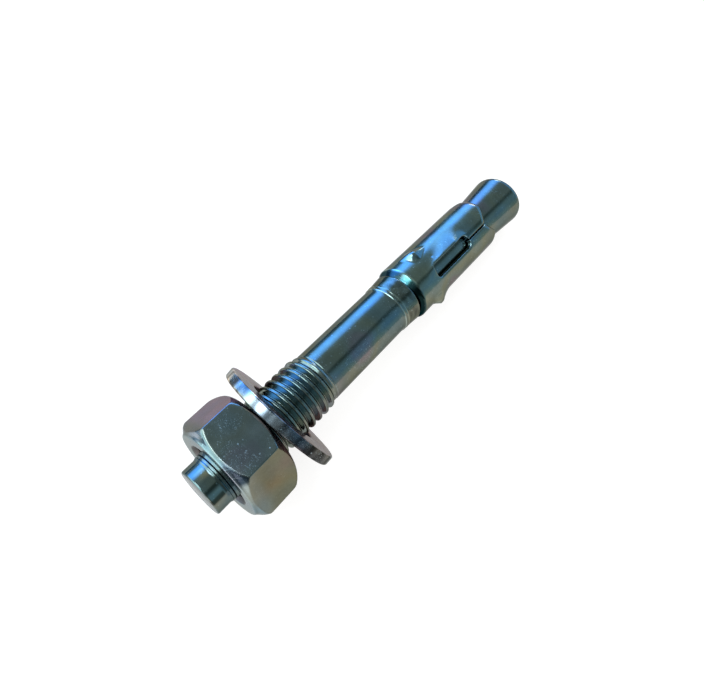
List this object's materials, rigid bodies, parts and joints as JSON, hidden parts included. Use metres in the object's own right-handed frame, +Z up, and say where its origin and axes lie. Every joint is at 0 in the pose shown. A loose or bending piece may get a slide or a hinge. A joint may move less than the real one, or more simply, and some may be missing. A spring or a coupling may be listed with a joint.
{
  "type": "wedge anchor",
  "caption": "Torque-controlled expansion anchor: threaded stud with dog point, collar and cone end, wrapped expansion clip, flat washer and hex nut, lying on its washer and cone.",
  "frame": {"origin": "middle of the footprint, on the surface that the anchor lies on", "axes": "+X along the anchor from the dog point to the cone, +Z up, away from the surface that it lies on"},
  "size_m": [0.0954, 0.024, 0.0234],
  "materials": {
    "stud_zinc": "bright zinc plate with a blue passivation, fine specks and scratches",
    "clip_zinc": "bright zinc-plated sheet with a blue passivation",
    "washer_zinc": "zinc plate, stamped rim rough and pitted",
    "nut_zinc": "zinc plate on forged flats, specks and fine scratches"
  },
  "bodies": {
    "stud": {"stud": "stud_zinc"},
    "clip": {"expansion_clip": "clip_zinc"},
    "washer": {"washer": "washer_zinc"},
    "nut": {"hex_nut": "nut_zinc"}
  },
  "joints": [
    {"name": "washer_travel", "type": "slide", "parent": "stud", "child": "washer", "axis": [0.997, 0, -0.077], "range_m": [-0.0087, 0.0122]},
    {"name": "nut_turn", "type": "hinge", "parent": "washer", "child": "nut", "pos_m": [-0.03846, 0, 0.01251], "axis": [0.997, 0, -0.077], "range_deg": [-1800, 2520]},
    {"name": "clip_turn", "type": "hinge", "parent": "stud", "child": "clip", "pos_m": [0.02041, 0, 0.00796], "axis": [0.997, 0, -0.077], "continuous": true}
  ],
  "couplings": [
    {"joint": "nut_turn", "follows": "washer_travel", "rad_per_m": 3590.4}
  ]
}
